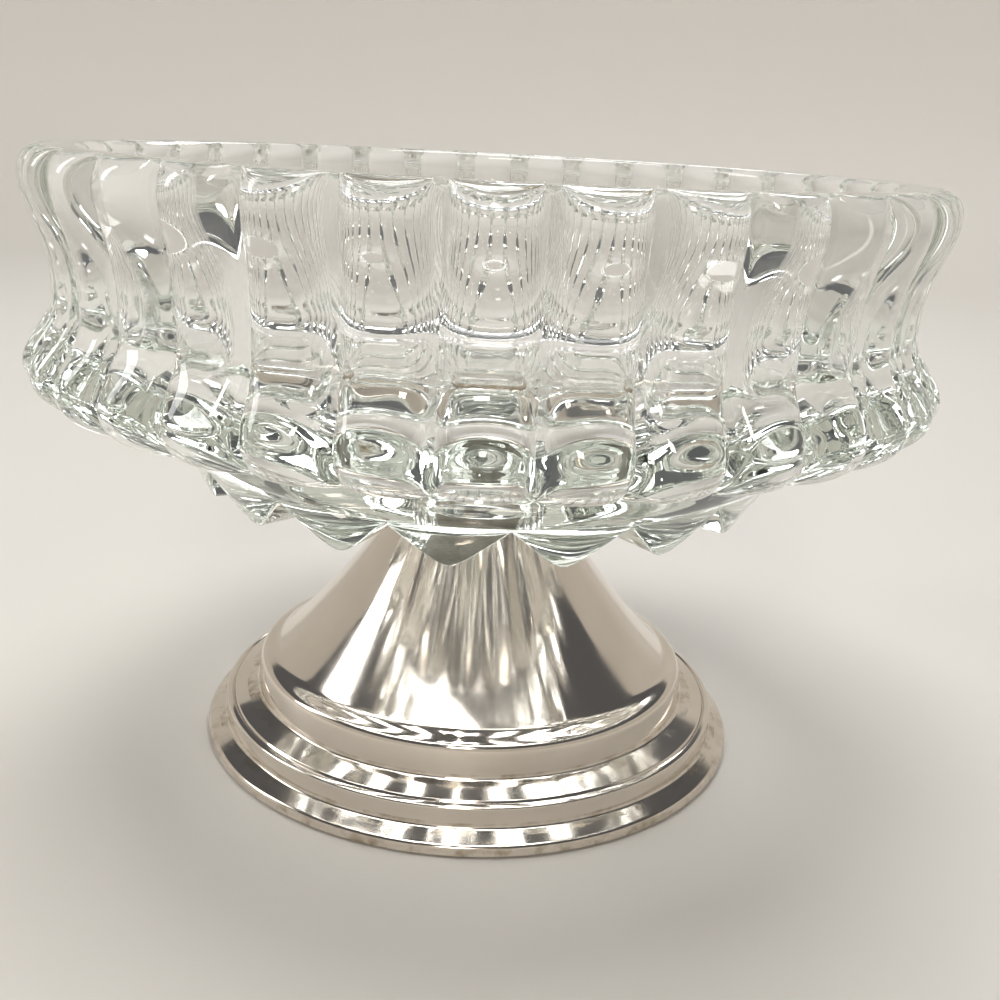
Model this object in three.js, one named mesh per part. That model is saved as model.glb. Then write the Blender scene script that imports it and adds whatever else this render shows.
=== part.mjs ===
// A footed dessert dish: a pressed-glass bowl that screws onto a spun, silver-plated pedestal.
// Millimetres, +Z up. The origin is the middle of the felt's underside, where the dish stands.
// Azimuth 0 is the front, towards -Y.

import * as THREE from 'three';

// Fits
const contactGap = 0.1; // between faces that rest on each other
const bondGap = 0.15; // round a cemented or soldered piece
const slipGap = 0.3; // round a piece that is slid or screwed into place

// Bowl, pattern
const fluteCount = 36;
const rayCount = 18;
const rayTurn = -180 / fluteCount; // degrees, so that each ray ends under a crease between two flutes
const rayEdgeRound = 0.25; // how far a ray's edge is rounded, as a share of half its pitch

// Bowl, outside: radii over the crowns, depths from crown to crease, heights from the hub's face
const rimAboveHub = 55.3;
const rimRadius = 76.1;
const rimFluteDepth = 5.7;
const lipRise = 3.9; // height of the lip's rounded edge
const lipRound = 3.0; // how far the rounded edge runs in
const lipFluteDepth = 1.2; // on the flat of the lip
const fluteFlat = 1.3; // how flat the shallow flutes are across; one as deep as half its width is round
const flareTurn = 0.7; // where the flutes lean out most steeply, as a share of the way from waist to lip
const waistAboveHub = 34.5;
const waistInset = 4.0; // how far the waist runs in from the rim
const waistFluteDepth = 2.1;
const beadAboveHub = 22.7;
const beadProud = 0.9; // how far the beads stand out past the rim
const beadFluteDepth = 5.8;
const beadRise = 9.7; // from the bead's widest line up to the foot of the flute
const beadDrop = 6.7; // from the widest line down to the bead's underside
const beadTuck = 11.0; // how far the underside runs in below the widest line
const shoulderInset = 4.2; // from the bead's underside in to the shoulder, where the plain band starts
const shoulderDrop = 0.9; // from the bead's underside down to the shoulder
const shoulderFluteDepth = 0.6;

// Bowl, underside
const bandWidth = 9.3; // from the shoulder in to the band's inner edge, where the star starts
const bandDrop = 7.9; // from the shoulder down to that edge
const rayTipInset = 3.6; // from that edge in to a ray's tip
const valleyReach = 0.5; // how far in and down from the band's edge a valley ends
const hubRadius = 17.0;

// Bowl, inside
const rimWall = 9.5; // from the rim's crowns in to the cavity
const cavityLipRound = 1.6;
const cavityTaper = 2.2; // how far the plain wall runs in from the rim down to its foot
const cavityFootRise = 9.2; // from the floor up to the foot of the plain wall
const cornerReach = 13.4; // from the foot of the plain wall in to where the floor starts to round up
const floorThickness = 15.8; // at the hub
const floorDish = 0.8; // how far the middle lies below the floor's edge

// Bowl, socket for the stud
const socketDepth = 10.2;
const cementWall = 1.3;
const cementCap = 1.2;

// Threaded stud and bush
const threadRadius = 4.0;
const studHeadRadius = 6.2;
const studHeadRecess = 0.8; // from the hub's face up to the underside of the head
const studReach = 9.6; // thread below the hub's face
const studChamfer = 0.8;
const bushLength = 12.0;
const bushRadius = 6.6;
const bushFlangeRadius = 9.6;
const bushFlangeThickness = 2.0;

// Gasket
const gasketThickness = 1.0;
const gasketRadius = 11.4;

// Pedestal, outside
const wallThickness = 0.9;
const seatHeight = 47.3;
const seatRadius = 12.6;
const seatRound = 0.9;
const stemMiddleHeight = 30.4;
const stemMiddleRadius = 23.2;
const stemFootHeight = 15.0;
const stemFootRound = 1.2;
const brimWidth = 2.9; // from the brim's edge in to the foot of the stem
const brimHeight = 14.2;
const brimRound = 1.2;
const brimWallLean = 0.6; // how far the wall under the brim leans out towards its foot
const brimWallFootHeight = 8.6;
const brimWallFootRound = 0.5;
const tierWidth = 5.9; // from the tier's side in to the wall under the brim
const tierHeight = 6.9;
const tierRound = 1.6;
const tierFootHeight = 3.4;
const tierFootRound = 0.5;
const flangeRadius = 49.6;
const flangeWidth = 3.4; // from the flange's edge in to the tier's side
const flangeEdgeHeight = 1.9;
const flangeRound = 0.9;
const flangeLift = 0.4; // the metal's clearance above the table

// Base
const feltThickness = 1.5;
const feltMargin = 1.6; // inside the flange's inner face
const plateThickness = 2.0;

// Facets round each turned piece
const pedestalSegments = 60;
const smallSegments = 36;
const stemSteps = 7;
const roundSteps = 2;
const roundLimit = 0.45; // the most of a side that a rounded corner may take

// Where the bowl's facets lie across a flute, from its crease over its crown, as shares of half a pitch
const fluteSteps = [-1, -0.62, 0, 0.62];

// Where its rings lie along each of its curves, as shares of the curve
const starRings = [0.5, 1];
const beadUndersideRings = [0, 0.3, 0.55, 0.78];
const beadTopRings = [0, 0.26, 0.52, 0.78];
const fluteRings = [0, 0.29, 0.46, 0.6, 0.75, 0.9, 1];
const lipRings = [0.35, 0.7, 1];
const innerLipRings = [0, 0.5, 1];
const cornerRings = [0, 0.35, 0.68, 1];

// Finishes
const feltFinish = { color: 0x26382c, roughness: 0.95, metalness: 0 };
const boardFinish = { color: 0x7c6a52, roughness: 0.9, metalness: 0 };
const plateFinish = { color: 0xd8d2c8, roughness: 0.16, metalness: 1 };
const bushFinish = { color: 0xb5974e, roughness: 0.35, metalness: 1 };
const corkFinish = { color: 0xa5835b, roughness: 0.9, metalness: 0 };
const glassFinish = { color: 0xdfe6e0, roughness: 0.04, metalness: 0 };
const cementFinish = { color: 0xd9d5c9, roughness: 0.85, metalness: 0 };
const studFinish = { color: 0xb89a50, roughness: 0.32, metalness: 1 };

// Radii and heights that follow from the sizes above
const waistRadius = rimRadius - waistInset;
const beadRadius = rimRadius + beadProud;
const shoulderRadius = beadRadius - beadTuck - shoulderInset;
const bandInnerRadius = shoulderRadius - bandWidth;
const rayTipRadius = bandInnerRadius - rayTipInset;
const cavityRimRadius = rimRadius - rimWall;
const cavityFootRadius = cavityRimRadius - cavityTaper;
const floorRadius = cavityFootRadius - cornerReach;
const tierRadius = flangeRadius - flangeWidth;
const brimWallFootRadius = tierRadius - tierWidth;
const brimRadius = brimWallFootRadius - brimWallLean;
const stemFootRadius = brimRadius - brimWidth;
const gasketBottom = seatHeight + contactGap;
const hubHeight = gasketBottom + gasketThickness + contactGap;
const rimHeight = hubHeight + rimAboveHub;
const waistHeight = hubHeight + waistAboveHub;
const beadHeight = hubHeight + beadAboveHub;
const floorHeight = hubHeight + floorThickness;
const socketTop = hubHeight + socketDepth;
const cementTop = socketTop - bondGap;
const cementBottom = hubHeight + contactGap;
const studHeadTop = cementTop - cementCap - bondGap;
const studHeadBottom = hubHeight + studHeadRecess;
const cementInnerRadius = studHeadRadius + bondGap;
const cementRadius = cementInnerRadius + cementWall;
const socketRadius = cementRadius + bondGap;
const shankHole = threadRadius + slipGap;
const seatHoleRadius = shankHole + slipGap;
const bushTop = seatHeight - wallThickness - contactGap;
const plateBottom = feltThickness + contactGap;
const plateRadius = tierRadius - wallThickness - slipGap;
const feltRadius = flangeRadius - wallThickness - feltMargin;

/** Eases from 0 to 1 with flat ends. */
function ease(amount) {
  return THREE.MathUtils.smoothstep(amount, 0, 1);
}

/** Eases from 0 to 1 with flat ends, as the flutes lean out. */
function lean(share) {
  if (share < flareTurn) return share ** 2 / flareTurn;
  return 1 - (1 - share) ** 2 / (1 - flareTurn);
}

/** The angle of a share of a quarter turn, in radians. */
function quarter(share) {
  return (share * Math.PI) / 2;
}

/** A point of a turned profile: a radius and a height. */
function at(radius, height) {
  return new THREE.Vector2(radius, height);
}

/** A turned solid from a profile that runs up the outside, closed on the axis or on itself. */
function turned(profile, segments) {
  const geometry = new THREE.LatheGeometry(profile, segments);
  geometry.rotateX(Math.PI / 2);
  return geometry;
}

/**
 * How much of the crown is left beside it, from 1 on it to 0 in the sharp hollow: the arc of a circle,
 * flattened across its crown where the flute is shallow.
 */
function lobe(offset, ring) {
  const halfPitch = ring.hollow.x * Math.sin(Math.PI / fluteCount);
  const depth = Math.min(ring.crown.x - ring.hollow.x, halfPitch);
  const radius = (halfPitch ** 2 + depth ** 2) / (2 * depth);
  const across = Math.min(offset * halfPitch, radius);
  const fall = (radius - Math.sqrt(radius ** 2 - across ** 2)) / depth;
  const flat = Math.min(fluteFlat * (1 - depth / halfPitch), 1);
  return 1 - fall * (1 - flat + flat * fall);
}

/** The same for a straight-sided edge with a rounded ridge. */
function ridge(offset) {
  const side = (distance) => Math.hypot(distance, rayEdgeRound);
  return (side(1) - side(offset)) / (side(1) - side(0));
}

const flutes = { crowns: fluteCount, turn: 0, shape: lobe };
const rays = { crowns: rayCount, turn: rayTurn, shape: ridge };

/** One ring of the bowl: where its crowns and hollows lie, and what it is drawn out into, if anything. */
function station(crown, hollow = crown, pattern = null) {
  return { crown, hollow, pattern };
}

/** A ring of flutes or beads, whose creases lie deeper than the crowns. */
function fluted(radius, height, depth) {
  return station(at(radius, height), at(radius - depth, height), flutes);
}

/** The share of the crown in a ring at an angle. */
function crownShare(angle, ring) {
  if (ring.pattern === null) return 1;
  const { crowns, turn, shape } = ring.pattern;
  const pitches = ((angle - THREE.MathUtils.degToRad(turn)) * crowns) / (2 * Math.PI);
  return shape(2 * Math.abs(pitches - Math.round(pitches)), ring);
}

/** The underside, from the middle of the socket out to the beads. */
function undersideStations() {
  const shoulderHeight = beadHeight - beadDrop - shoulderDrop;
  const bandHeight = shoulderHeight - bandDrop;
  const hub = at(hubRadius, hubHeight);
  const rayTip = at(rayTipRadius, hubHeight);
  const valleyEnd = at(bandInnerRadius - valleyReach, bandHeight - valleyReach);
  const star = starRings.map((share) => {
    return station(hub.clone().lerp(rayTip, share), hub.clone().lerp(valleyEnd, share), rays);
  });
  return [
    station(at(0, socketTop)),
    station(at(socketRadius, socketTop)),
    station(at(socketRadius, hubHeight)),
    station(hub),
    ...star,
    station(at(bandInnerRadius, bandHeight)),
    fluted(shoulderRadius, shoulderHeight, shoulderFluteDepth),
  ];
}

/** The beads, the flutes above them and the rounded lip. */
function outsideStations() {
  const lipHeight = rimHeight - lipRise;
  const beadUnderside = beadUndersideRings.map((share) => {
    const angle = quarter(share);
    const radius = beadRadius - beadTuck * (1 - Math.sin(angle));
    const depth = THREE.MathUtils.lerp(shoulderFluteDepth, beadFluteDepth, Math.sqrt(Math.sin(angle)));
    return fluted(radius, beadHeight - beadDrop * Math.cos(angle), depth);
  });
  const beadTop = beadTopRings.map((share) => {
    const radius = THREE.MathUtils.lerp(beadRadius, waistRadius, ease(share));
    const depth = THREE.MathUtils.lerp(beadFluteDepth, waistFluteDepth, ease(share));
    return fluted(radius, beadHeight + beadRise * share, depth);
  });
  const wall = fluteRings.map((share) => {
    const height = THREE.MathUtils.lerp(waistHeight, lipHeight, share);
    const radius = THREE.MathUtils.lerp(waistRadius, rimRadius, lean(share));
    return fluted(radius, height, THREE.MathUtils.lerp(waistFluteDepth, rimFluteDepth, lean(share)));
  });
  const lip = lipRings.map((share) => {
    const angle = quarter(share);
    const inward = 1 - Math.cos(angle);
    const depth = THREE.MathUtils.lerp(rimFluteDepth, lipFluteDepth, inward);
    return fluted(rimRadius - lipRound * inward, lipHeight + lipRise * Math.sin(angle), depth);
  });
  return [...beadUnderside, ...beadTop, ...wall, ...lip];
}

/** The smooth inside, from the lip down to the middle of the floor. */
function insideStations() {
  const lip = innerLipRings.map((share) => {
    const angle = quarter(share);
    const radius = cavityRimRadius + cavityLipRound * (1 - Math.sin(angle));
    return station(at(radius, rimHeight - cavityLipRound * (1 - Math.cos(angle))));
  });
  const corner = cornerRings.map((share) => {
    const angle = quarter(share);
    const radius = THREE.MathUtils.lerp(floorRadius, cavityFootRadius, Math.cos(angle));
    return station(at(radius, floorHeight + floorDish + cavityFootRise * (1 - Math.sin(angle))));
  });
  return [...lip, ...corner, station(at(0, floorHeight))];
}

/** The glass bowl: a turned solid whose rings are drawn out into flutes, beads and star rays. */
function bowlGeometry() {
  const stations = [...undersideStations(), ...outsideStations(), ...insideStations()];
  const segments = fluteCount * fluteSteps.length;
  const geometry = new THREE.LatheGeometry(stations.map((ring) => ring.crown), segments);
  const positions = geometry.attributes.position;
  for (let step = 0; step <= segments; step += 1) {
    const turn = step % segments;
    const flute = Math.floor(turn / fluteSteps.length);
    const angle = ((flute + fluteSteps[turn % fluteSteps.length] / 2) / fluteCount) * 2 * Math.PI;
    stations.forEach((ring, index) => {
      const point = ring.hollow.clone().lerp(ring.crown, crownShare(angle, ring));
      const vertex = step * stations.length + index;
      positions.setXYZ(vertex, point.x * Math.sin(angle), point.y, point.x * Math.cos(angle));
    });
  }
  geometry.rotateX(Math.PI / 2);
  geometry.computeVertexNormals();
  return geometry;
}

/** The stud: a round head that the cement grips and a threaded shank below it. */
function studProfile() {
  const end = hubHeight - studReach;
  return [
    at(0, end),
    at(threadRadius - studChamfer, end),
    at(threadRadius, end + studChamfer),
    at(threadRadius, studHeadBottom),
    at(studHeadRadius, studHeadBottom),
    at(studHeadRadius, studHeadTop),
    at(0, studHeadTop),
  ];
}

/** The cement: a cup that fills the socket round the stud's head. */
function cementProfile() {
  const innerTop = studHeadTop + bondGap;
  return [
    at(0, innerTop),
    at(cementInnerRadius, innerTop),
    at(cementInnerRadius, cementBottom),
    at(cementRadius, cementBottom),
    at(cementRadius, cementTop),
    at(0, cementTop),
  ];
}

/** A flat ring or, with no hole, a disc. */
function discProfile(radius, bottom, thickness, hole = 0) {
  const top = bottom + thickness;
  const outline = [at(hole, bottom), at(radius, bottom), at(radius, top), at(hole, top)];
  return hole > 0 ? [...outline, outline[0].clone()] : outline;
}

/** The bush: a threaded tube with a flange soldered under the seat. */
function bushProfile() {
  const bottom = bushTop - bushLength;
  const flangeBottom = bushTop - bushFlangeThickness;
  return [
    at(shankHole, bottom),
    at(bushRadius, bottom),
    at(bushRadius, flangeBottom),
    at(bushFlangeRadius, flangeBottom),
    at(bushFlangeRadius, bushTop),
    at(shankHole, bushTop),
    at(shankHole, bottom),
  ];
}

/** The stem's hollow curve from its foot to the seat, through its middle. */
function stemPoints() {
  const foot = at(stemFootRadius, stemFootHeight);
  const seat = at(seatRadius, seatHeight);
  const middle = at(stemMiddleRadius, stemMiddleHeight);
  const halfway = foot.clone().lerp(seat, 0.5);
  const pull = middle.multiplyScalar(2).sub(halfway);
  return new THREE.QuadraticBezierCurve(foot, pull, seat).getPoints(stemSteps);
}

/** The pedestal's outline as corners from the flange's edge up to the hole in the seat. */
function pedestalCorners() {
  const corners = [
    { point: at(flangeRadius, flangeLift), round: 0 },
    { point: at(flangeRadius, flangeEdgeHeight), round: flangeRound },
    { point: at(tierRadius, tierFootHeight), round: tierFootRound },
    { point: at(tierRadius, tierHeight), round: tierRound },
    { point: at(brimWallFootRadius, brimWallFootHeight), round: brimWallFootRound },
    { point: at(brimRadius, brimHeight), round: brimRound },
  ];
  const stem = stemPoints();
  stem.forEach((point, index) => {
    const ends = { 0: stemFootRound, [stem.length - 1]: seatRound };
    corners.push({ point, round: ends[index] ?? 0 });
  });
  corners.push({ point: at(seatHoleRadius, seatHeight), round: 0 });
  return corners;
}

/** The corners as points, each rounded one replaced by a short curve that its sides have room for. */
function roundedPoints(corners) {
  const points = [];
  corners.forEach(({ point, round }, index) => {
    if (round === 0) {
      points.push(point.clone());
      return;
    }
    const before = corners[index - 1].point.clone().sub(point);
    const after = corners[index + 1].point.clone().sub(point);
    const reach = Math.min(round, before.length() * roundLimit, after.length() * roundLimit);
    const start = point.clone().addScaledVector(before.normalize(), reach);
    const end = point.clone().addScaledVector(after.normalize(), reach);
    points.push(...new THREE.QuadraticBezierCurve(start, point, end).getPoints(roundSteps));
  });
  return points;
}

/** The line one wall thickness inside the corners, mitred at each of them. */
function innerPoints(corners) {
  const normals = corners.slice(1).map(({ point }, index) => {
    const along = point.clone().sub(corners[index].point).normalize();
    return at(-along.y, along.x);
  });
  return corners.map(({ point }, index) => {
    const first = normals[Math.max(index - 1, 0)];
    const second = normals[Math.min(index, normals.length - 1)];
    const mitre = first.clone().add(second).divideScalar(1 + first.dot(second));
    return point.clone().addScaledVector(mitre, wallThickness);
  });
}

/** The spun shell: the rounded outline and, back down, the line one wall inside it. */
function pedestalProfile() {
  const corners = pedestalCorners();
  const outside = roundedPoints(corners);
  const inside = innerPoints(corners).reverse();
  return [...outside, ...inside, outside[0].clone()];
}

/** One named piece with its own finish. */
function piece(name, geometry, finish) {
  const mesh = new THREE.Mesh(geometry, new THREE.MeshStandardMaterial(finish));
  mesh.name = name;
  return mesh;
}

const feltProfile = discProfile(feltRadius, 0, feltThickness);
const plateProfile = discProfile(plateRadius, plateBottom, plateThickness);
const pedestal = new THREE.Group();
pedestal.add(
  piece('felt_pad', turned(feltProfile, pedestalSegments), feltFinish),
  piece('base_plate', turned(plateProfile, pedestalSegments), boardFinish),
  piece('pedestal_shell', turned(pedestalProfile(), pedestalSegments), plateFinish),
  piece('threaded_bush', turned(bushProfile(), smallSegments), bushFinish),
);

const gasketProfile = discProfile(gasketRadius, gasketBottom, gasketThickness, seatHoleRadius);
const gasket = piece('seat_gasket', turned(gasketProfile, smallSegments), corkFinish);

const bowl = new THREE.Group();
bowl.add(
  piece('glass_bowl', bowlGeometry(), glassFinish),
  piece('stud_cement', turned(cementProfile(), smallSegments), cementFinish),
  piece('bowl_stud', turned(studProfile(), smallSegments), studFinish),
);

const dish = new THREE.Group();
dish.add(pedestal, gasket, bowl);

export default dish;
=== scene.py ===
"""Looks of a footed dessert dish: a pressed-glass bowl that screws onto a spun, silver-plated pedestal.

Lengths in the classes are millimetres, as on a maker's drawing; the studio's alone are metres. Meshes are
in metres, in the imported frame. Azimuth 0 is the front, towards -Y.
"""

import logging
import math
from dataclasses import dataclass
from enum import Enum

import bpy
import numpy as np
from mathutils import Matrix, Vector


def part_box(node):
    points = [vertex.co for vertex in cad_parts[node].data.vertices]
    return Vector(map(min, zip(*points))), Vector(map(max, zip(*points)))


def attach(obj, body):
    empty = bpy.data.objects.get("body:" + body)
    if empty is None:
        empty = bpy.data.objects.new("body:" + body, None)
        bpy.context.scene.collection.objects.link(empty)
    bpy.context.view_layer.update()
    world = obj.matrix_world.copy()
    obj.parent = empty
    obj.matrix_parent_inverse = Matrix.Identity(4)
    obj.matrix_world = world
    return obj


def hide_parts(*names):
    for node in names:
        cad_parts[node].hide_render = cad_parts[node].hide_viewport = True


log = logging.getLogger("dessert_dish")
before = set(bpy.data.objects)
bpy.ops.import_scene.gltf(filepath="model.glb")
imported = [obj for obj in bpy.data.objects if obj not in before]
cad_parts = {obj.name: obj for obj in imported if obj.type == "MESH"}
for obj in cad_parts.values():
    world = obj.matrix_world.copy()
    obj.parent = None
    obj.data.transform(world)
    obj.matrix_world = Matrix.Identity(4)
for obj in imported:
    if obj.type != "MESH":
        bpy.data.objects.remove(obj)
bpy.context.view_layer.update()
MM = 0.001
WAVE_PERIOD = 2 * math.pi / 20  # the length of one band of a wave texture at scale 1
POLE_RADIUS = 0.2  # of the small ring round the axis that a turned skin ends in
ROUND_LIMIT = 0.45  # the most of a side that a rounded corner may take
SHARP_ANGLE = 50.0  # degrees between faces from which an edge stays crisp
SMALL_ROUND_STEPS = 3  # along a rounding too small to need more
GLASS_BOUNCES = 24  # of light through the many faces of the flutes, beads and star
MIRROR_BOUNCES = 12


class Caps(Enum):
    """How a skin of rings is closed: on the axis at both ends, or last ring to first."""

    POLES = "poles"
    LOOP = "loop"


class Pattern(Enum):
    """What a ring of the glass is drawn out into."""

    PLAIN = "plain"
    FLUTES = "flutes"
    RAYS = "rays"


def linear(colour: str) -> tuple[float, float, float, float]:
    """Turns an sRGB hex colour into linear red, green, blue and alpha.

    Args:
        colour: Six hex digits after a hash.

    Returns:
        The linear colour with alpha 1.
    """
    shares = [int(colour[place:place + 2], 16) / 255 for place in (1, 3, 5)]
    red, green, blue = (s / 12.92 if s <= 0.04045 else ((s + 0.055) / 1.055) ** 2.4 for s in shares)
    return red, green, blue, 1.0


def add_node(
    tree: bpy.types.NodeTree,
    kind: str,
    inputs: dict[str | int, object] | None = None,
    **settings: object,
) -> bpy.types.Node:
    """Adds a node, sets its properties, and sets or links its inputs.

    Args:
        tree: The tree that the node goes into.
        kind: The node's type name.
        inputs: Input name or number to a value, or to another node's output socket.
        settings: The node's own properties.

    Returns:
        The new node.
    """
    node = tree.nodes.new(kind)
    for name, value in settings.items():
        setattr(node, name, value)
    for name, value in (inputs or {}).items():
        if isinstance(value, bpy.types.NodeSocket):
            tree.links.new(value, node.inputs[name])
        else:
            node.inputs[name].default_value = value
    return node


def add_stops(ramp: bpy.types.Node, stops: list[tuple[float, str]]) -> bpy.types.Node:
    """Gives a colour ramp its stops.

    Args:
        ramp: A colour ramp node.
        stops: Position and hex colour of each stop, in order.

    Returns:
        The same node.
    """
    elements = ramp.color_ramp.elements
    while len(elements) < len(stops):
        elements.new(0.5)
    for element, (position, colour) in zip(elements, stops):
        element.position = position
        element.color = linear(colour)
    return ramp


def new_material(name: str) -> tuple[bpy.types.Material, bpy.types.NodeTree, bpy.types.Node]:
    """Makes an empty node material with a principled surface.

    Args:
        name: The material's name.

    Returns:
        The material, its node tree and its principled node.
    """
    material = bpy.data.materials.new(name)
    material.use_nodes = True
    tree = material.node_tree
    return material, tree, tree.nodes["Principled BSDF"]


def per_mm(size: float) -> float:
    """The texture scale, in metres of object space, of a pattern whose cell is this many millimetres."""
    return 1.0 / (size * MM)


@dataclass(frozen=True)
class PressedGlass:
    """Soda-lime glass pressed in an iron mould and fire-polished.

    It is clear and hard-edged, goes grey-green where it is thick, and its skin is faintly wavy from the
    mould.
    """

    name: str = "pressed_soda_lime_glass"
    tint: str = "#D5DFD3"
    tint_density: float = 8.0
    ior: float = 1.52
    roughness: float = 0.01
    wave_size: float = 7.0
    wave_depth: float = 0.012

    def material(self) -> bpy.types.Material:
        """Builds the glass: a clear surface over an absorbing body."""
        material, tree, surface = new_material(self.name)
        place = add_node(tree, "ShaderNodeTexCoord").outputs["Object"]
        wave = add_node(tree, "ShaderNodeTexNoise", {
            "Vector": place, "Scale": per_mm(self.wave_size), "Detail": 1.0, "Roughness": 0.4})
        bump = add_node(tree, "ShaderNodeBump", {
            "Height": wave.outputs["Fac"], "Strength": 1.0, "Distance": self.wave_depth * MM})
        surface.inputs["Base Color"].default_value = (1.0, 1.0, 1.0, 1.0)
        surface.inputs["Roughness"].default_value = self.roughness
        surface.inputs["IOR"].default_value = self.ior
        surface.inputs["Transmission Weight"].default_value = 1.0
        tree.links.new(bump.outputs["Normal"], surface.inputs["Normal"])
        body = add_node(tree, "ShaderNodeVolumeAbsorption", {
            "Color": linear(self.tint), "Density": self.tint_density})
        tree.links.new(body.outputs["Volume"], tree.nodes["Material Output"].inputs["Volume"])
        return material


@dataclass(frozen=True)
class SilverPlate:
    """Sheet brass spun on a lathe, silver-plated and polished, then worn by years of handling.

    It mirrors its surroundings a little warmly, with fine scratches round it, shallow dents, hazy patches
    from polishing, and brown-green tarnish along the foot's edge and in the steps where the cloth doesn't
    reach.
    """

    name: str = "spun_silver_plate"
    silver: str = "#EAE3D9"
    haze: str = "#D8CEC2"
    tarnish: str = "#8C7B5A"
    scratch_width: float = 0.5
    scratch_length: float = 20.0
    scratch_depth: float = 0.0006
    dent_size: float = 11.0
    dent_depth: float = 0.03
    haze_size: float = 14.0
    haze_range: tuple[float, float] = (0.3, 0.75)
    polish_range: tuple[float, float] = (0.05, 0.14)
    spot_size: float = 3.2
    spot_range: tuple[float, float] = (0.46, 0.68)
    edge_height: float = 3.2
    recess_heights: tuple[float, ...] = (3.5, 8.7)
    recess_width: float = 0.7
    recess_tarnish: float = 0.6
    tarnish_roughness: float = 0.25
    foot_radius: float = 45.0

    def material(self) -> bpy.types.Material:
        """Builds the plate's colour, gloss and relief."""
        material, tree, surface = new_material(self.name)
        place = add_node(tree, "ShaderNodeTexCoord").outputs["Object"]
        parts = add_node(tree, "ShaderNodeSeparateXYZ", {"Vector": place})
        flat = add_node(tree, "ShaderNodeCombineXYZ", {"X": parts.outputs["X"], "Y": parts.outputs["Y"]})
        radius = add_node(tree, "ShaderNodeVectorMath", {0: flat.outputs["Vector"]}, operation="LENGTH")
        height = parts.outputs["Z"]

        hazy = add_node(tree, "ShaderNodeTexNoise", {
            "Vector": place, "Scale": per_mm(self.haze_size), "Detail": 5.0, "Roughness": 0.6})
        spots = add_node(tree, "ShaderNodeTexNoise", {
            "Vector": place, "Scale": per_mm(self.spot_size), "Detail": 5.0, "Roughness": 0.6})
        patches = add_node(tree, "ShaderNodeMapRange", {
            "Value": spots.outputs["Fac"], "From Min": self.spot_range[0], "From Max": self.spot_range[1]})
        near_edge = add_node(tree, "ShaderNodeMapRange", {
            "Value": height, "From Min": self.edge_height * MM, "From Max": 0.0})
        worn = near_edge.outputs["Result"]
        for level in self.recess_heights:
            near = add_node(tree, "ShaderNodeMath", {
                0: height, 1: level * MM, 2: self.recess_width * MM}, operation="COMPARE")
            both = add_node(tree, "ShaderNodeMath", {
                0: near.outputs["Value"], 1: self.recess_tarnish, 2: worn},
                operation="MULTIPLY_ADD", use_clamp=True)
            worn = both.outputs["Value"]
        tarnished = add_node(tree, "ShaderNodeMath", {
            0: patches.outputs["Result"], 1: worn}, operation="MULTIPLY")

        clean = add_node(tree, "ShaderNodeMix", {
            "Factor": hazy.outputs["Fac"], 6: linear(self.silver), 7: linear(self.haze)}, data_type="RGBA")
        colour = add_node(tree, "ShaderNodeMix", {
            "Factor": tarnished.outputs["Value"], 6: clean.outputs[2], 7: linear(self.tarnish)},
            data_type="RGBA")
        gloss = add_node(tree, "ShaderNodeMapRange", {
            "Value": hazy.outputs["Fac"], "From Min": self.haze_range[0], "From Max": self.haze_range[1],
            "To Min": self.polish_range[0], "To Max": self.polish_range[1]})
        rough = add_node(tree, "ShaderNodeMath", {
            0: tarnished.outputs["Value"], 1: self.tarnish_roughness, 2: gloss.outputs["Result"]},
            operation="MULTIPLY_ADD")

        # Real polishing scratches are a few hundredths of a millimetre wide. They are drawn coarser to show.
        turn = add_node(tree, "ShaderNodeMath", {
            0: parts.outputs["X"], 1: parts.outputs["Y"]}, operation="ARCTAN2")
        along = add_node(tree, "ShaderNodeMath", {
            0: turn.outputs["Value"], 1: self.foot_radius * MM * self.scratch_width / self.scratch_length},
            operation="MULTIPLY")
        across = add_node(tree, "ShaderNodeCombineXYZ", {
            "X": radius.outputs["Value"], "Y": height, "Z": along.outputs["Value"]})
        scratches = add_node(tree, "ShaderNodeTexNoise", {
            "Vector": across.outputs["Vector"], "Scale": per_mm(self.scratch_width), "Detail": 3.0})
        dents = add_node(tree, "ShaderNodeTexNoise", {
            "Vector": place, "Scale": per_mm(self.dent_size), "Detail": 2.0, "Roughness": 0.45})
        relief = add_node(tree, "ShaderNodeBump", {
            "Height": dents.outputs["Fac"], "Strength": 1.0, "Distance": self.dent_depth * MM})
        relief = add_node(tree, "ShaderNodeBump", {
            "Height": scratches.outputs["Fac"], "Strength": 1.0, "Distance": self.scratch_depth * MM,
            "Normal": relief.outputs["Normal"]})

        surface.inputs["Metallic"].default_value = 1.0
        tree.links.new(colour.outputs[2], surface.inputs["Base Color"])
        tree.links.new(rough.outputs["Value"], surface.inputs["Roughness"])
        tree.links.new(relief.outputs["Normal"], surface.inputs["Normal"])
        return material


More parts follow.
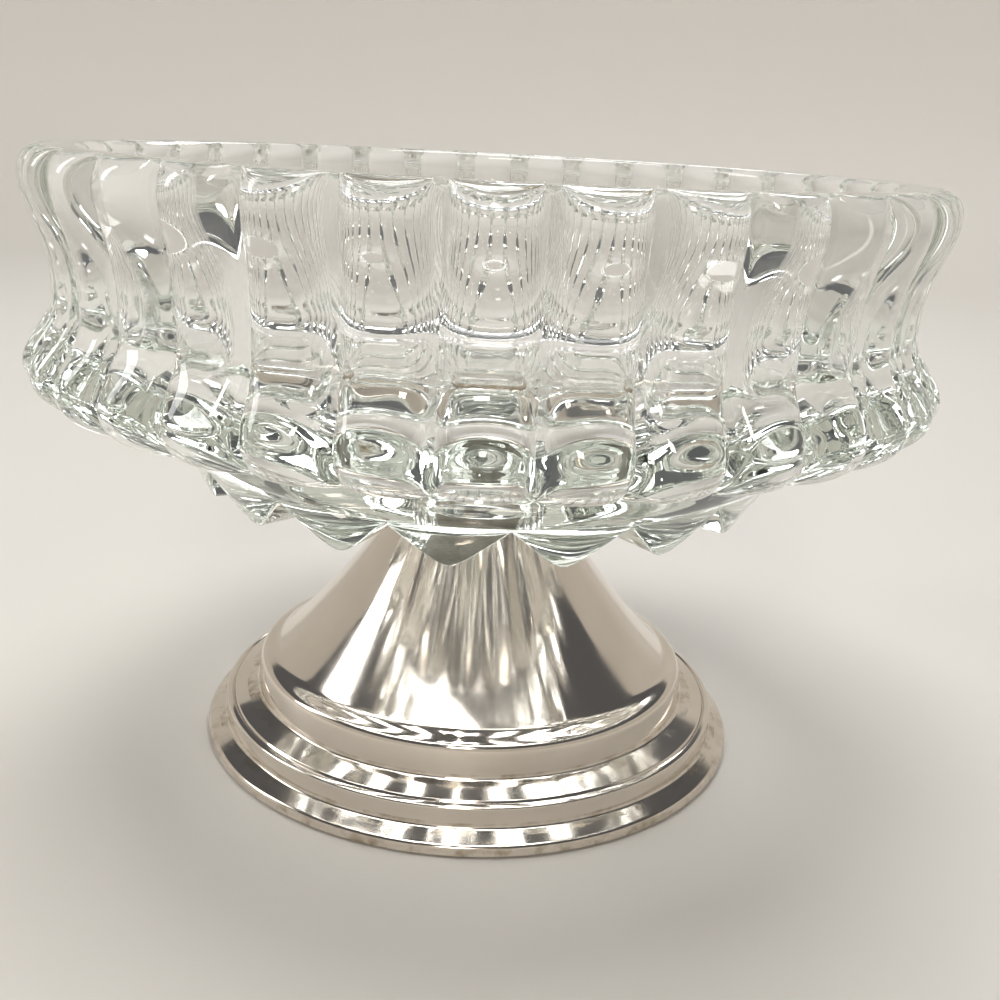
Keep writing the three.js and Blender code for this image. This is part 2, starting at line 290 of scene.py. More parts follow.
@dataclass(frozen=True)
class TurnedBrass:
    """Free-cutting brass turned on a lathe: yellow, with fine tool lines and dull brown where it has aged."""

    name: str = "turned_brass"
    bright: str = "#C9A75A"
    aged: str = "#8E713A"
    line_spacing: float = 0.3
    line_depth: float = 0.004
    line_wander: float = 0.4
    patch_size: float = 3.0
    polish_range: tuple[float, float] = (0.18, 0.42)

    def material(self) -> bpy.types.Material:
        """Builds the brass with its tool lines and patina."""
        material, tree, surface = new_material(self.name)
        place = add_node(tree, "ShaderNodeTexCoord").outputs["Object"]
        patches = add_node(tree, "ShaderNodeTexNoise", {
            "Vector": place, "Scale": per_mm(self.patch_size), "Detail": 5.0})
        colour = add_node(tree, "ShaderNodeMix", {
            "Factor": patches.outputs["Fac"], 6: linear(self.bright), 7: linear(self.aged)}, data_type="RGBA")
        gloss = add_node(tree, "ShaderNodeMapRange", {
            "Value": patches.outputs["Fac"], "To Min": self.polish_range[0], "To Max": self.polish_range[1]})
        lines = add_node(tree, "ShaderNodeTexWave", {
            "Vector": place, "Scale": per_mm(self.line_spacing) * WAVE_PERIOD,
            "Distortion": self.line_wander}, bands_direction="Z")
        relief = add_node(tree, "ShaderNodeBump", {
            "Height": lines.outputs["Fac"], "Strength": 0.6, "Distance": self.line_depth * MM})
        surface.inputs["Metallic"].default_value = 1.0
        tree.links.new(colour.outputs[2], surface.inputs["Base Color"])
        tree.links.new(gloss.outputs["Result"], surface.inputs["Roughness"])
        tree.links.new(relief.outputs["Normal"], surface.inputs["Normal"])
        return material


@dataclass(frozen=True)
class PressedCork:
    """Cork granules pressed into sheet with a binder: pale tan crumbs with darker joints, quite matt."""

    name: str = "pressed_cork"
    pale: str = "#DCC8A6"
    middle: str = "#CDB48C"
    dark: str = "#A5835B"
    middle_place: float = 0.35
    granule: float = 0.9
    granule_depth: float = 0.06
    roughness: float = 0.88

    def material(self) -> bpy.types.Material:
        """Builds the cork's granules."""
        material, tree, surface = new_material(self.name)
        place = add_node(tree, "ShaderNodeTexCoord").outputs["Object"]
        crumbs = add_node(tree, "ShaderNodeTexVoronoi", {"Vector": place, "Scale": per_mm(self.granule)})
        tone = add_node(tree, "ShaderNodeSeparateColor", {"Color": crumbs.outputs["Color"]})
        colour = add_stops(
            add_node(tree, "ShaderNodeValToRGB", {"Fac": tone.outputs["Red"]}),
            [(0.0, self.dark), (self.middle_place, self.middle), (1.0, self.pale)])
        relief = add_node(tree, "ShaderNodeBump", {
            "Height": crumbs.outputs["Distance"], "Strength": 0.7, "Distance": self.granule_depth * MM},
            invert=True)
        surface.inputs["Roughness"].default_value = self.roughness
        tree.links.new(colour.outputs["Color"], surface.inputs["Base Color"])
        tree.links.new(relief.outputs["Normal"], surface.inputs["Normal"])
        return material


@dataclass(frozen=True)
class Granular:
    """A matt, grainy solid coloured by two tones of noise, such as set cement, pressed board or wool felt.

    The eye gets a soft, uneven surface with no gloss; sheen is for fibres that stand up.
    """

    name: str
    pale: str
    dark: str
    grain: float
    depth: float
    stretch: float = 1.0
    sheen: float = 0.0
    grains_per_patch: float = 8.0
    tone_range: tuple[float, float] = (0.7, 1.3)
    roughness: float = 0.92

    def material(self) -> bpy.types.Material:
        """Builds the two-tone grain and its relief."""
        material, tree, surface = new_material(self.name)
        place = add_node(tree, "ShaderNodeTexCoord").outputs["Object"]
        laid = add_node(tree, "ShaderNodeMapping", {"Vector": place, "Scale": (1.0, self.stretch, 1.0)})
        broad = add_node(tree, "ShaderNodeTexNoise", {
            "Vector": laid.outputs["Vector"], "Scale": per_mm(self.grain * self.grains_per_patch),
            "Detail": 3.0})
        grain = add_node(tree, "ShaderNodeTexNoise", {
            "Vector": laid.outputs["Vector"], "Scale": per_mm(self.grain), "Detail": 6.0, "Roughness": 0.7})
        mixed = add_node(tree, "ShaderNodeMath", {
            0: broad.outputs["Fac"], 1: grain.outputs["Fac"]}, operation="ADD")
        tone = add_node(tree, "ShaderNodeMapRange", {
            "Value": mixed.outputs["Value"], "From Min": self.tone_range[0], "From Max": self.tone_range[1]})
        colour = add_node(tree, "ShaderNodeMix", {
            "Factor": tone.outputs["Result"], 6: linear(self.dark), 7: linear(self.pale)}, data_type="RGBA")
        relief = add_node(tree, "ShaderNodeBump", {
            "Height": grain.outputs["Fac"], "Strength": 0.8, "Distance": self.depth * MM})
        surface.inputs["Roughness"].default_value = self.roughness
        surface.inputs["Sheen Weight"].default_value = self.sheen
        tree.links.new(colour.outputs[2], surface.inputs["Base Color"])
        tree.links.new(relief.outputs["Normal"], surface.inputs["Normal"])
        return material


SET_CEMENT = Granular("set_plaster_cement", pale="#D8D3C6", dark="#A9A294", grain=0.5, depth=0.05)
FIBREBOARD = Granular(
    "pressed_fibreboard", pale="#9A8465", dark="#6A573F", grain=0.4, depth=0.03, stretch=3.0)
WOOL_FELT = Granular("pressed_wool_felt", pale="#3F5A48", dark="#22352A", grain=0.35, depth=0.12, sheen=0.3)


def skin(name: str, rings: list[np.ndarray], caps: Caps) -> bpy.types.Object:
    """Makes a smooth closed mesh from rings of points, given in millimetres.

    Args:
        name: The object's name.
        rings: Rings of equally many points; outside rings run upwards.
        caps: How the ends are closed.

    Returns:
        The object, linked to the scene.
    """
    count = len(rings[0])
    points = np.concatenate(rings) * MM
    faces = []
    turn = np.roll(np.arange(count), -1)
    pairs = [(low, low + 1) for low in range(len(rings) - 1)]
    if caps is Caps.LOOP:
        pairs.append((len(rings) - 1, 0))
    for low, high in pairs:
        base, top = low * count, high * count
        faces += [(base + i, base + turn[i], top + turn[i], top + i) for i in range(count)]
    if caps is Caps.POLES:
        first, last = len(points), len(points) + 1
        ends = np.array([[0.0, 0.0, points[0, 2]], [0.0, 0.0, points[-1, 2]]])
        points = np.concatenate([points, ends])
        top = (len(rings) - 1) * count
        faces += [(first, turn[i], i) for i in range(count)]
        faces += [(last, top + i, top + turn[i]) for i in range(count)]
    mesh = bpy.data.meshes.new(name)
    mesh.from_pydata(points.tolist(), [], [tuple(int(i) for i in face) for face in faces])
    mesh.shade_smooth()
    mesh.set_sharp_from_angle(angle=math.radians(SHARP_ANGLE))
    piece = bpy.data.objects.new(name, mesh)
    bpy.context.scene.collection.objects.link(piece)
    return piece


def circle(radius: float | np.ndarray, height: float | np.ndarray, angles: np.ndarray) -> np.ndarray:
    """A ring of points about the axis.

    Args:
        radius: One radius, or one for each angle.
        height: One height, or one for each angle.
        angles: Azimuths in radians, 0 at the front.

    Returns:
        Points, one row each.
    """
    heights = np.broadcast_to(height, angles.shape)
    return np.stack([radius * np.sin(angles), -radius * np.cos(angles), heights], axis=-1)


def around(count: int) -> np.ndarray:
    """Equally spaced azimuths for one full turn."""
    return np.arange(count) / count * 2 * math.pi


def turned(points: list[Vector], angles: np.ndarray) -> list[np.ndarray]:
    """Turns an outline about the axis: one ring for each of its points."""
    return [circle(point.x, point.y, angles) for point in points]


def between(start: float, end: float, share: float | np.ndarray) -> float | np.ndarray:
    """The value at a share of the way from start to end."""
    return start + (end - start) * share


def curve(start: Vector, pull: Vector, end: Vector, steps: int) -> list[Vector]:
    """A bend from start to end that leaves and arrives along the lines through pull.

    Args:
        start: The first point.
        pull: The point that the bend is drawn towards.
        end: The last point.
        steps: Steps along the bend.

    Returns:
        Its points.
    """
    shares = [step / steps for step in range(steps + 1)]
    return [start * (1 - s) ** 2 + pull * 2 * s * (1 - s) + end * s ** 2 for s in shares]


def arc(corner: Vector, before: Vector, after: Vector, reach: float, steps: int) -> list[Vector]:
    """Rounds one corner of an outline with a short curve.

    Args:
        corner: The sharp corner.
        before: The outline's point before it.
        after: The outline's point after it.
        reach: How far from the corner the curve starts and ends.
        steps: Steps along the curve.

    Returns:
        Points of the curve.
    """
    reach = min(reach, (before - corner).length * ROUND_LIMIT, (after - corner).length * ROUND_LIMIT)
    start = corner + (before - corner).normalized() * reach
    end = corner + (after - corner).normalized() * reach
    return curve(start, corner, end, steps)


def outline(corners: list[tuple[float, float, float]], steps: int = 6) -> list[Vector]:
    """Turns corners with rounding into the points of an outline.

    Args:
        corners: Radius, height and rounding of each corner; the first and last stay sharp.
        steps: Steps round each corner.

    Returns:
        The outline's points.
    """
    spots = [Vector((radius, height)) for radius, height, _ in corners]
    points = [spots[0]]
    for index in range(1, len(corners) - 1):
        rounding = corners[index][2]
        if rounding > 0:
            points += arc(spots[index], spots[index - 1], spots[index + 1], rounding, steps)
        else:
            points.append(spots[index])
    points.append(spots[-1])
    return points


def dress(piece: bpy.types.Object, material: bpy.types.Material) -> None:
    """Gives a piece or a carried-over node one material all over."""
    piece.data.materials.clear()
    piece.data.materials.append(material)


def seat(piece: bpy.types.Object, node: str, body: str) -> None:
    """Makes a piece stand for a CAD node and ride on its body.

    Args:
        piece: The Blender piece.
        node: The node that it replaces.
        body: The body that it moves with.
    """
    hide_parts(node)
    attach(piece, body)
    log.info("%s stands for %s on %s, %d faces", piece.name, node, body, len(piece.data.polygons))


@dataclass
class Station:
    """One ring of the glass: where its crowns and its hollows lie, and what it is drawn out into."""

    crown: tuple[float, float]
    hollow: tuple[float, float]
    pattern: Pattern = Pattern.PLAIN


@dataclass
class GlassBowl:
    """The bowl: flutes from the lip down to a row of beads, a plain band, and a star on the underside."""

    flute_count: int = 36
    ray_count: int = 18
    ray_turn: float = -5.0  # degrees, which puts the rays under every second crease
    ray_edge_round: float = 0.25
    steps_per_flute: int = 20
    star_rings: int = 14
    tip_rings: int = 5
    band_rings: int = 12
    shoulder_rings: int = 3
    bead_rings: int = 20
    flute_rings: int = 32
    lip_rings: int = 10
    cavity_rings: int = 18

    rim_above_hub: float = 55.3
    rim_radius: float = 76.0
    rim_flute_depth: float = 5.7
    lip_rise: float = 3.9
    lip_round: float = 3.0
    lip_flute_depth: float = 1.2
    flute_flat: float = 1.3  # how strongly a shallow flute is flattened across its crown
    flare_turn: float = 0.7  # the share of the wall's height from which the flare eases off
    polish_passes: int = 4
    waist_above_hub: float = 34.5
    waist_radius: float = 72.1
    waist_flute_depth: float = 2.1
    bead_above_hub: float = 22.7
    bead_radius: float = 77.0
    bead_flute_depth: float = 5.8
    bead_rise: float = 9.7
    bead_drop: float = 6.7
    bead_tuck: float = 11.0
    shoulder_radius: float = 61.8
    shoulder_drop: float = 0.9
    shoulder_flute_depth: float = 0.6

    band_inner_radius: float = 52.5
    band_drop: float = 7.9
    band_swell: float = 0.7
    ray_tip_radius: float = 48.9
    ray_tip_round: float = 1.3
    valley_reach: float = 0.5
    hub_radius: float = 17.0

    cavity_rim_radius: float = 66.6
    cavity_lip_round: float = 1.6
    cavity_foot_radius: float = 64.4
    cavity_foot_rise: float = 9.2
    floor_radius: float = 51.0
    floor_thickness: float = 15.8
    floor_dish: float = 0.8
    socket_radius: float = 7.8
    socket_depth: float = 10.2
    socket_round: float = 0.4

    def __post_init__(self) -> None:
        """Takes the hub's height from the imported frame, so that the glass stays where its node is."""
        self.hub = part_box("glass_bowl")[0].z / MM
        self.rim = self.hub + self.rim_above_hub
        self.waist = self.hub + self.waist_above_hub
        self.bead = self.hub + self.bead_above_hub
        self.shoulder = self.bead - self.bead_drop - self.shoulder_drop
        self.band = self.shoulder - self.band_drop
        self.floor = self.hub + self.floor_thickness

    def flutes(self, radius: float, height: float, depth: float) -> Station:
        """A ring of flutes or beads, whose creases lie deeper than the crowns."""
        return Station((radius, height), (radius - depth, height), Pattern.FLUTES)

    def underside(self) -> list[Station]:
        """The rings from the socket's ceiling out over the star and the plain band to the beads.

        Returns:
            The stations in order.
        """
        ceiling = self.hub + self.socket_depth
        corners = [
            (POLE_RADIUS, ceiling, 0.0), (self.socket_radius, ceiling, self.socket_round),
            (self.socket_radius, self.hub, self.socket_round), (self.hub_radius, self.hub, 0.0)]
        stations = [Station(tuple(point), tuple(point)) for point in outline(corners, SMALL_ROUND_STEPS)]
        valley = (self.band_inner_radius - self.valley_reach, self.band - self.valley_reach)
        for share in np.linspace(0.0, 1.0, self.star_rings + 1)[1:]:
            ray = between(self.hub_radius, self.ray_tip_radius - self.ray_tip_round, share)
            hollow = between(self.hub_radius, valley[0], share)
            rise = between(self.hub, valley[1], share)
            stations.append(Station((ray, self.hub), (hollow, rise), Pattern.RAYS))
        tip = outline([
            (self.ray_tip_radius - self.ray_tip_round, self.hub, 0.0),
            (self.ray_tip_radius, self.hub, self.ray_tip_round),
            (self.band_inner_radius, self.band, 0.0)], self.tip_rings)
        for index, point in enumerate(tip[1:-1], start=1):
            share = index / len(tip)
            hollow = (valley[0] + self.valley_reach * share, valley[1] + self.valley_reach * share)
            stations.append(Station(tuple(point), hollow, Pattern.RAYS))
        for share in np.linspace(0.0, 1.0, self.band_rings + 1)[:-1]:
            swell = self.band_swell * math.sin(share * math.pi)
            radius = between(self.band_inner_radius, self.shoulder_radius, share)
            height = self.band + self.band_drop * share - swell
            stations.append(Station((radius, height), (radius, height)))
        return stations

    def beads(self) -> list[Station]:
        """The rings over the beads, from the band up to the foot of the flutes.

        Returns:
            The stations in order.
        """
        stations = []
        for share in np.linspace(0.0, 1.0, self.shoulder_rings + 1)[:-1]:
            radius = between(self.shoulder_radius, self.bead_radius - self.bead_tuck, share)
            height = self.shoulder + self.shoulder_drop * share
            stations.append(self.flutes(radius, height, self.shoulder_flute_depth))
        for angle in np.linspace(0.0, math.pi / 2, self.bead_rings):
            radius = self.bead_radius - self.bead_tuck * (1 - math.sin(angle))
            height = self.bead - self.bead_drop * math.cos(angle)
            swell = math.sqrt(math.sin(angle))
            depth = between(self.shoulder_flute_depth, self.bead_flute_depth, swell)
            stations.append(self.flutes(radius, height, depth))
        for share in np.linspace(0.0, 1.0, self.bead_rings + 1)[1:]:
            fall = share * share * (3 - 2 * share)
            radius = between(self.bead_radius, self.waist_radius, fall)
            depth = between(self.bead_flute_depth, self.waist_flute_depth, fall)
            stations.append(self.flutes(radius, self.bead + self.bead_rise * share, depth))
        return stations

    def wall(self) -> list[Station]:
        """The rings up the flutes and round the lip.

        Returns:
            The stations in order.
        """
        stations = []
        lip = self.rim - self.lip_rise
        for share in np.linspace(0.0, 1.0, self.flute_rings):
            flare = share ** 2 / self.flare_turn
            if share > self.flare_turn:
                flare = 1 - (1 - share) ** 2 / (1 - self.flare_turn)
            radius = between(self.waist_radius, self.rim_radius, flare)
            depth = between(self.waist_flute_depth, self.rim_flute_depth, flare)
            stations.append(self.flutes(radius, between(self.waist, lip, share), depth))
        for angle in np.linspace(0.0, math.pi / 2, self.lip_rings + 1)[1:]:
            inward = 1 - math.cos(angle)
            radius = self.rim_radius - self.lip_round * inward
            depth = between(self.rim_flute_depth, self.lip_flute_depth, inward)
            stations.append(self.flutes(radius, lip + self.lip_rise * math.sin(angle), depth))
        return stations

    def outside(self) -> list[Station]:
        """The rings from the band to the lip, eased into each other as the fire-polish leaves them.

        Returns:
            The stations in order.
        """
        stations = self.beads() + self.wall()
        spots = np.array([[*station.crown, *station.hollow] for station in stations])
        for _ in range(self.polish_passes):
            spots[1:-1] = (spots[:-2] + 2 * spots[1:-1] + spots[2:]) / 4
        for station, spot in zip(stations, spots):
            station.crown = tuple(spot[:2])
            station.hollow = tuple(spot[2:])
        return stations

    def inside(self) -> list[Station]:
        """The smooth rings from the lip down the wall to the floor.

        Returns:
            The stations in order.
        """
        points = []
        for angle in np.linspace(0.0, math.pi / 2, self.lip_rings):
            radius = self.cavity_rim_radius + self.cavity_lip_round * (1 - math.sin(angle))
            points.append((radius, self.rim - self.cavity_lip_round * (1 - math.cos(angle))))
        foot = self.floor + self.floor_dish + self.cavity_foot_rise
        top = self.rim - self.cavity_lip_round
        for share in np.linspace(0.0, 1.0, self.cavity_rings + 2)[1:-1]:
            radius = between(self.cavity_rim_radius, self.cavity_foot_radius, share)
            points.append((radius, between(top, foot, share)))
        for angle in np.linspace(0.0, math.pi / 2, self.cavity_rings):
            radius = between(self.floor_radius, self.cavity_foot_radius, math.cos(angle))
            points.append((radius, foot - self.cavity_foot_rise * math.sin(angle)))
        for share in np.linspace(0.0, 1.0, self.cavity_rings)[1:-1]:
            radius = self.floor_radius * (1 - share)
            points.append((radius, self.floor + self.floor_dish * (1 - share) ** 2))
        return [Station(point, point) for point in points]

    def crown_share(self, angles: np.ndarray, station: Station) -> np.ndarray:
        """How near each azimuth is to a crown: 1 on it, 0 in the sharp hollow beside it.

        A flute or bead is the arc of a circle, flattened across its crown where it is shallow.

        Args:
            angles: Azimuths in radians.
            station: The ring.

        Returns:
            One share for each azimuth.
        """
        if station.pattern is Pattern.PLAIN:
            return np.ones_like(angles)
        if station.pattern is Pattern.FLUTES:
            pitches = angles * self.flute_count / (2 * math.pi)
            half_pitch = station.hollow[0] * math.sin(math.pi / self.flute_count)
            depth = min(station.crown[0] - station.hollow[0], half_pitch)
            radius = (half_pitch ** 2 + depth ** 2) / (2 * depth)
            across = np.minimum(2 * np.abs(pitches - np.round(pitches)) * half_pitch, radius)
            fall = (radius - np.sqrt(radius ** 2 - across ** 2)) / depth
            flat = min(self.flute_flat * (1 - depth / half_pitch), 1.0)
            return 1 - fall * (1 - flat + flat * fall)
        pitches = (angles - math.radians(self.ray_turn)) * self.ray_count / (2 * math.pi)
        side = np.hypot(2 * (pitches - np.round(pitches)), self.ray_edge_round)
        edge, valley = self.ray_edge_round, math.hypot(1.0, self.ray_edge_round)
        return (valley - side) / (valley - edge)

    def build(self) -> None:
        """Builds the glass as one closed skin."""
        angles = around(self.flute_count * self.steps_per_flute)
        rings = []
        for station in self.underside() + self.outside() + self.inside():
            share = self.crown_share(angles, station)
            radius = between(station.hollow[0], station.crown[0], share)
            height = between(station.hollow[1], station.crown[1], share)
            rings.append(circle(radius, height, angles))
        piece = skin("pressed_bowl", rings, Caps.POLES)
        dress(piece, PressedGlass().material())
        seat(piece, "glass_bowl", "bowl")


@dataclass
class PedestalFoot:
    """The foot: a spun shell with a hollow trumpet stem, a brim, a tier and a thin flange, closed below."""

    sides: int = 256
    wall: float = 0.9
    seat_radius: float = 12.6
    seat_round: float = 0.9
    seat_hole_radius: float = 4.6
    stem_middle: tuple[float, float] = (23.2, 30.4)
    stem_foot: tuple[float, float] = (36.8, 15.0)
    stem_foot_round: float = 1.2
    brim_radius: float = 39.7
    brim_height: float = 14.2
    brim_round: float = 1.2
    brim_wall_foot: tuple[float, float] = (40.3, 8.6)
    tier_radius: float = 46.2
    tier_height: float = 6.9
    tier_round: float = 1.6
    groove_radius: float = 44.9
    groove_width: float = 0.6
    groove_depth: float = 0.35
    groove_round: float = 0.1
    tier_foot: float = 3.4
    flange_radius: float = 49.6
    flange_edge: float = 1.9
    flange_round: float = 0.9
    corner_round: float = 0.5
    felt_thickness: float = 1.5
    felt_radius: float = 47.1
    felt_round: float = 0.4
    stem_steps: int = 20
    inner_stem_steps: int = 8

    def stem(self, seat_height: float, steps: int) -> list[Vector]:
        """The stem's hollow curve from its foot up to the seat.

        Args:
            seat_height: Height of the seat.
            steps: Steps along the curve.

        Returns:
            Points of the curve.
        """
        foot, middle = Vector(self.stem_foot), Vector(self.stem_middle)
        top = Vector((self.seat_radius, seat_height))
        pull = middle * 2 - foot * 0.5 - top * 0.5  # brings the curve through the middle half-way up
        return curve(foot, pull, top, steps)

    def corners(self, steps: int) -> list[tuple[float, float, float]]:
        """The shell's outline, from the flange's edge up to the hole in the seat.

        Args:
            steps: Steps along the stem.

        Returns:
            Radius, height and rounding of each corner.
        """
        low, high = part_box("pedestal_shell")
        lift, seat_height = low.z / MM, high.z / MM
        stem = self.stem(seat_height, steps)
        points = [
            (self.flange_radius, lift, 0.0), (self.flange_radius, self.flange_edge, self.flange_round),
            (self.tier_radius, self.tier_foot, self.corner_round),
            (self.tier_radius, self.tier_height, self.tier_round),
            (*self.brim_wall_foot, self.corner_round),
            (self.brim_radius, self.brim_height, self.brim_round),
            (*stem[0], self.stem_foot_round)]
        points += [(*point, 0.0) for point in stem[1:-1]]
        points += [(*stem[-1], self.seat_round), (self.seat_hole_radius, seat_height, 0.0)]
        return points

    def groove(self) -> list[tuple[float, float, float]]:
        """The fine groove turned into the tier's top, just inside its edge.

        Returns:
            Radius, height and rounding of its three corners, from the outside in.
        """
        foot_radius, foot_height = self.brim_wall_foot
        slope = (foot_height - self.tier_height) / (self.tier_radius - foot_radius)
        points = []
        for step in (0.5, 0.0, -0.5):
            radius = self.groove_radius + step * self.groove_width
            depth = self.groove_depth if step == 0 else 0.0
            height = self.tier_height + slope * (self.tier_radius - radius) - depth
            points.append((radius, height, self.groove_round))
        return points

    def inner(self, corners: list[tuple[float, float, float]]) -> list[Vector]:
        """The line one wall thickness inside the outline, mitred at each corner.

        Args:
            corners: The outline's corners.

        Returns:
            Points of the inner line, in the same order.
        """
        spots = [Vector(corner[:2]) for corner in corners]
        ways = [(after - before).normalized() for before, after in zip(spots, spots[1:])]
        normals = [Vector((-way.y, way.x)) for way in ways]
        line = []
        for index, spot in enumerate(spots):
            first = normals[max(index - 1, 0)]
            second = normals[min(index, len(normals) - 1)]
            line.append(spot + (first + second) * (self.wall / (1 + first.dot(second))))
        return line

    def build(self) -> None:
        """Builds the shell and the felt, and dresses the pieces inside the foot."""
        angles = around(self.sides)
        corners = self.corners(self.stem_steps)
        past_tier = 4  # corners up to the tier's edge; the groove comes after them
        outside = outline(corners[:past_tier] + self.groove() + corners[past_tier:])
        inside = list(reversed(self.inner(self.corners(self.inner_stem_steps))))
        shell = skin("spun_shell", turned(outside + inside, angles), Caps.LOOP)
        dress(shell, SilverPlate().material())
        seat(shell, "pedestal_shell", "pedestal")

        felt_outline = outline([
            (POLE_RADIUS, 0.0, 0.0), (self.felt_radius, 0.0, self.felt_round),
            (self.felt_radius, self.felt_thickness, self.felt_round),
            (POLE_RADIUS, self.felt_thickness, 0.0)])
        felt = skin("felt_disc", turned(felt_outline, angles), Caps.POLES)
        dress(felt, WOOL_FELT.material())
        seat(felt, "felt_pad", "pedestal")

        dress(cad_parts["base_plate"], FIBREBOARD.material())
        dress(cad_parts["threaded_bush"], TurnedBrass(name="turned_brass_bush").material())


@dataclass
class ScrewFixing:
    """What holds the bowl on its foot: a cemented stud with a coarse thread, and a cork ring."""

    sides: int = 96
    thread_radius: float = 4.0
    thread_pitch: float = 1.25
    thread_depth: float = 0.7
    thread_flat: float = 0.1
    steps_per_thread: int = 12
    head_radius: float = 6.2
    head_round: float = 0.4
    head_bottom_above_hub: float = 0.8
    chamfer: float = 0.8
    gasket_round: float = 0.3

    def stud(self) -> None:
        """Builds the stud with its thread cut as a helix."""
        low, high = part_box("bowl_stud")
        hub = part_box("glass_bowl")[0].z / MM
        bottom, top = low.z / MM, high.z / MM
        neck = hub + self.head_bottom_above_hub
        angles = around(self.sides)
        steps = round((neck - bottom) / self.thread_pitch * self.steps_per_thread)
        rings = [circle(POLE_RADIUS, bottom, angles)]
        for height in np.linspace(bottom, neck, steps):
            phase = (height / self.thread_pitch + angles / (2 * math.pi)) % 1.0
            flank = (np.abs(2 * phase - 1) - self.thread_flat) / (1 - 2 * self.thread_flat)
            cut = self.thread_depth * np.clip(flank, 0.0, 1.0)
            limit = self.thread_radius - max(0.0, self.chamfer - (height - bottom))
            rings.append(circle(np.minimum(self.thread_radius - cut, limit), height, angles))
        head = outline([
            (self.thread_radius, neck, 0.0), (self.head_radius, neck, self.head_round),
            (self.head_radius, top, self.head_round), (POLE_RADIUS, top, 0.0)], SMALL_ROUND_STEPS)
        rings += turned(head[1:], angles)
        piece = skin("threaded_stud", rings, Caps.POLES)
        dress(piece, TurnedBrass(name="turned_brass_stud").material())
        seat(piece, "bowl_stud", "bowl")

    def gasket(self) -> None:
        """Builds the cork ring with its cut edges eased."""
        low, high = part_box("seat_gasket")
        bottom, top, radius = low.z / MM, high.z / MM, high.x / MM
        hole = PedestalFoot.seat_hole_radius
        middle = (hole + radius) / 2
        ring = outline([
            (middle, bottom, 0.0), (radius, bottom, self.gasket_round), (radius, top, self.gasket_round),
            (hole, top, self.gasket_round), (hole, bottom, self.gasket_round), (middle, bottom, 0.0)],
            SMALL_ROUND_STEPS)
        piece = skin("cork_ring", turned(ring[:-1], around(self.sides)), Caps.LOOP)
        dress(piece, PressedCork().material())
        seat(piece, "seat_gasket", "gasket")

    def build(self) -> None:
        """Builds the stud and the ring, and dresses the cement."""
        self.stud()
        self.gasket()
        dress(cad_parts["stud_cement"], SET_CEMENT.material())


@dataclass(frozen=True)
class Softbox:
    """One lamp with an oblong diffuser, aimed at the dish; its lengths are metres."""

    name: str
    place: tuple[float, float, float]
    size: tuple[float, float]
    watts: float
    colour: str = "#FFFFFF"

    def build(self, target: Vector) -> None:
        """Hangs the lamp and points it at the target.

        Args:
            target: The point that it is aimed at.
        """
        data = bpy.data.lights.new(self.name, "AREA")
        data.shape = "RECTANGLE"
        data.size, data.size_y = self.size
        data.energy = self.watts
        data.color = linear(self.colour)[:3]
        lamp = bpy.data.objects.new(self.name, data)
        lamp.location = self.place
        lamp.rotation_euler = (target - Vector(self.place)).to_track_quat("-Z", "Y").to_euler()
        bpy.context.scene.collection.objects.link(lamp)


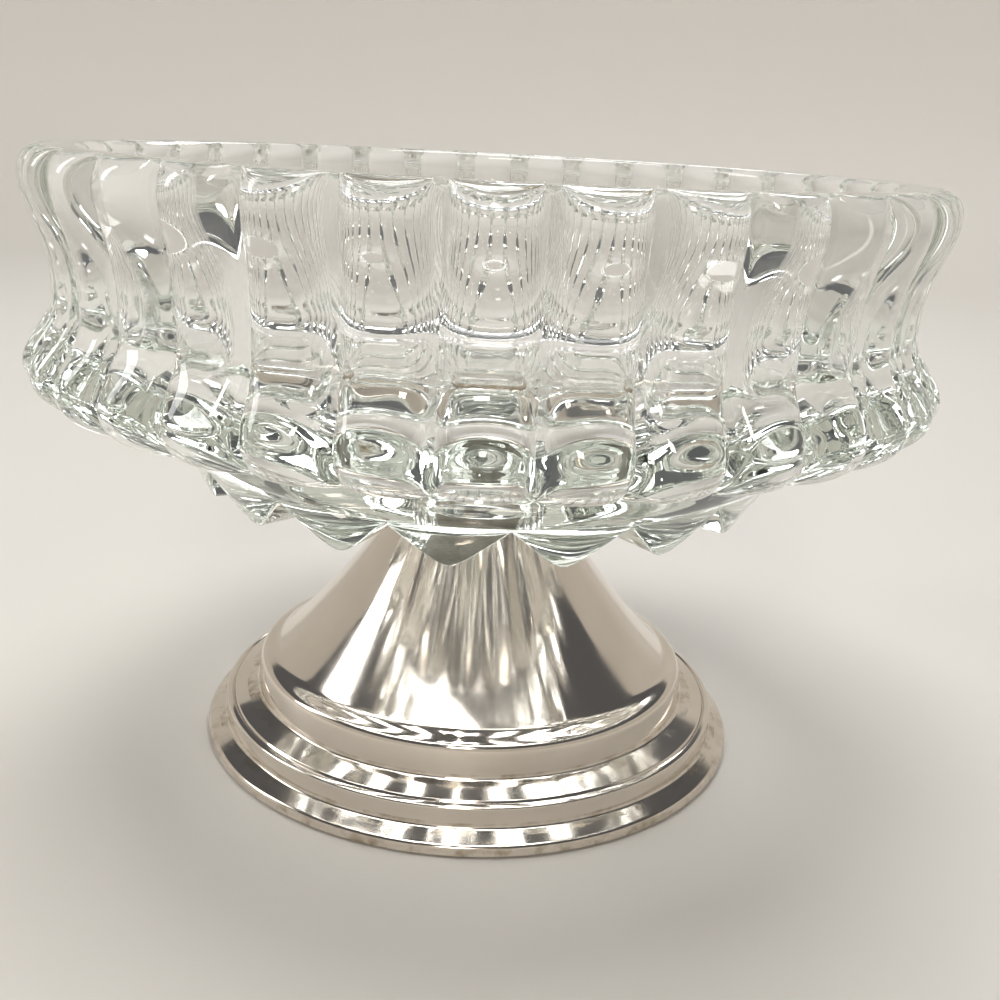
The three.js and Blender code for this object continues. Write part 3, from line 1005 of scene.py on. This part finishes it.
@dataclass
class Studio:
    """A round pale cove with soft lamps above it; its lengths are metres."""

    floor_colour: str = "#D9D5CE"
    wall_radius: float = 1.0
    wall_height: float = 0.52
    sweep: float = 0.3
    sweep_steps: int = 24
    board: float = 0.02
    sides: int = 128
    sky: str = "#8E8F92"
    sky_strength: float = 0.4
    lamps: tuple[Softbox, ...] = (
        Softbox("top_softbox", (-0.05, 0.1, 1.0), (0.5, 0.5), 6.4),
        Softbox("front_softbox", (-0.06, -0.85, 0.62), (0.18, 0.18), 2.2, "#FFF6EC"),
        Softbox("back_softbox", (0.25, 0.8, 0.75), (0.5, 0.2), 2.8),
        Softbox("side_softbox", (-0.85, 0.05, 0.5), (0.2, 0.5), 1.8),
    )
    aim: tuple[float, float, float] = (0.0, 0.0, 0.06)
    paint_grain: float = 3.0  # millimetres, as the next
    paint_depth: float = 0.02
    paint_roughness: float = 0.6

    def cove(self) -> None:
        """Builds the floor and the wall that it sweeps up into, as one thick open shell."""
        wall, height, board = self.wall_radius / MM, self.wall_height / MM, self.board / MM
        corners = [
            (POLE_RADIUS, 0.0, 0.0), (wall, 0.0, self.sweep / MM), (wall, height, 0.0),
            (wall + board, height, 0.0), (wall + board, -board, 0.0), (POLE_RADIUS, -board, 0.0)]
        rings = turned(outline(corners, self.sweep_steps), around(self.sides))
        piece = skin("studio_cove", rings, Caps.POLES)
        material, tree, surface = new_material("matt_cove_paint")
        place = add_node(tree, "ShaderNodeTexCoord").outputs["Object"]
        grain = add_node(tree, "ShaderNodeTexNoise", {
            "Vector": place, "Scale": per_mm(self.paint_grain), "Detail": 4.0})
        relief = add_node(tree, "ShaderNodeBump", {
            "Height": grain.outputs["Fac"], "Strength": 0.1, "Distance": self.paint_depth * MM})
        surface.inputs["Base Color"].default_value = linear(self.floor_colour)
        surface.inputs["Roughness"].default_value = self.paint_roughness
        tree.links.new(relief.outputs["Normal"], surface.inputs["Normal"])
        dress(piece, material)

    def build(self) -> None:
        """Builds the cove, the lamps and the dim room above."""
        self.cove()
        for lamp in self.lamps:
            lamp.build(Vector(self.aim))
        world = bpy.data.worlds.new("studio_room")
        world.use_nodes = True
        room = world.node_tree.nodes["Background"]
        room.inputs["Color"].default_value = linear(self.sky)
        room.inputs["Strength"].default_value = self.sky_strength
        bpy.context.scene.world = world


@dataclass
class PhotoCamera:
    """The hand-held camera of the photograph, from the fit to the rim, the flutes and the foot."""

    distance: float = 209.64
    height: float = 109.95
    azimuth: float = -0.4
    pitch: float = 17.569
    roll: float = 3.065
    yaw: float = 1.485
    focal_pixels: float = 1184.5
    picture_pixels: float = 1000.0
    sensor: float = 36.0
    near_clip: float = 10.0

    def build(self) -> None:
        """Places the camera and makes it the scene's."""
        azimuth, pitch, roll, yaw = (
            math.radians(angle) for angle in (self.azimuth, self.pitch, self.roll, self.yaw))
        forward = Vector((
            math.sin(yaw) * math.cos(pitch), math.cos(yaw) * math.cos(pitch), -math.sin(pitch)))
        level = Vector((math.cos(yaw), -math.sin(yaw), 0.0))
        upright = level.cross(forward)
        right = level * math.cos(roll) + upright * math.sin(roll)
        up = upright * math.cos(roll) - level * math.sin(roll)
        data = bpy.data.cameras.new("photo_camera")
        data.sensor_width = self.sensor
        data.lens = self.sensor * self.focal_pixels / self.picture_pixels
        data.clip_start = self.near_clip * MM
        camera = bpy.data.objects.new("photo_camera", data)
        axes = Matrix((right, up, -forward)).transposed().to_4x4()
        place = Vector((
            self.distance * math.sin(azimuth), -self.distance * math.cos(azimuth), self.height))
        camera.matrix_world = Matrix.Translation(place * MM) @ axes
        bpy.context.scene.collection.objects.link(camera)
        bpy.context.scene.camera = camera


def set_light_paths() -> None:
    """Lets light pass through the many glass faces of the flutes, beads and star."""
    cycles = bpy.context.scene.cycles
    cycles.max_bounces = GLASS_BOUNCES
    cycles.transmission_bounces = GLASS_BOUNCES
    cycles.glossy_bounces = MIRROR_BOUNCES


def main() -> None:
    """Builds the camera, the studio and the dish, piece by piece."""
    logging.basicConfig(level=logging.INFO)
    bpy.context.scene.view_settings.view_transform = "Standard"
    set_light_paths()
    PhotoCamera().build()
    Studio().build()
    PedestalFoot().build()
    ScrewFixing().build()
    GlassBowl().build()


if __name__ == "__main__":
    main()
